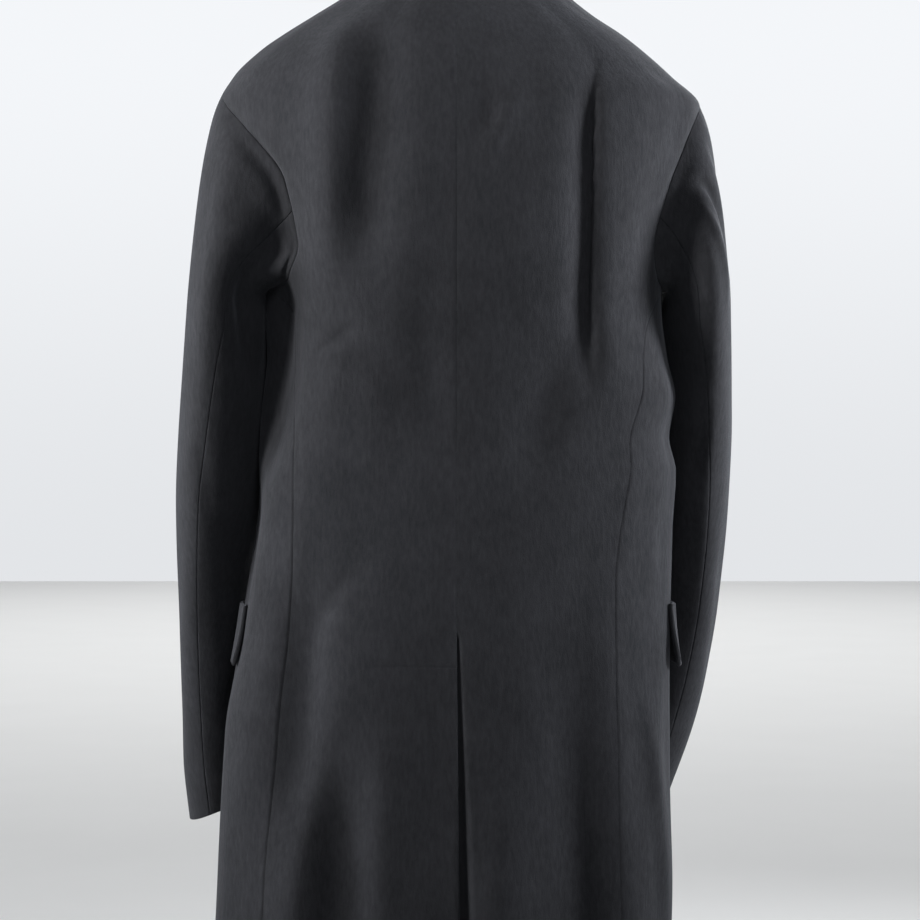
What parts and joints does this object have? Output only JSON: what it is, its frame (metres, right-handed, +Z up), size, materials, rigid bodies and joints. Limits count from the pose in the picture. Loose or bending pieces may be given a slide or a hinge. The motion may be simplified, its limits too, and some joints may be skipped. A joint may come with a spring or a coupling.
{
  "type": "overcoat",
  "caption": "Knee-length single-breasted wool overcoat, filled out as worn and empty inside, with set-in sleeves, notched collar, pocket flaps, a centre back seam and a back vent.",
  "frame": {"origin": "The middle of the neck, level with the points where the shoulder seams meet the collar: where the coat rests on its wearer's shoulders.", "axes": "+Z is up, the front of the coat faces -Y and its back faces +Y, and the wearer's left is +X."},
  "size_m": [0.5094, 0.319, 1.041],
  "materials": {
    "wool": "brushed black wool with a short soft nap",
    "buttons": "dark, half-matt"
  },
  "bodies": {
    "root": {"back_left": "wool", "back_right": "wool", "front_left": "wool", "front_right": "wool", "top_sleeve_left": "wool", "under_sleeve_left": "wool", "top_sleeve_right": "wool", "under_sleeve_right": "wool", "lapel_left": "wool", "lapel_right": "wool", "flap_left": "wool", "flap_right": "wool", "collar": "wool", "button_1": "buttons", "button_2": "buttons", "button_3": "buttons"}
  },
  "joints": []
}
